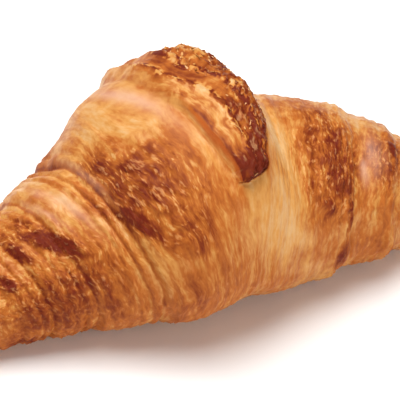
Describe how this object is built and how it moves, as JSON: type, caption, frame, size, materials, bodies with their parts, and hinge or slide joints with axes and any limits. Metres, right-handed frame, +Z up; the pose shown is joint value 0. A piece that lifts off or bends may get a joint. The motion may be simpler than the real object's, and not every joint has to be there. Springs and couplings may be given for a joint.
{
  "type": "croissant",
  "caption": "Baked croissant of layered dough rolled from a triangle, with a swollen middle, stepped turns towards both ends and a flat bottom to rest on",
  "frame": {"origin": "centre of the bounding box's bottom face, on the surface that the croissant rests on", "axes": "+X along the roll, -Y towards the side that the point of the dough ends on, +Z up"},
  "size_m": [0.168, 0.0754, 0.0593],
  "materials": {
    "crust": "browned, semi-gloss"
  },
  "bodies": {
    "root": {"croissant": "crust"}
  },
  "joints": []
}
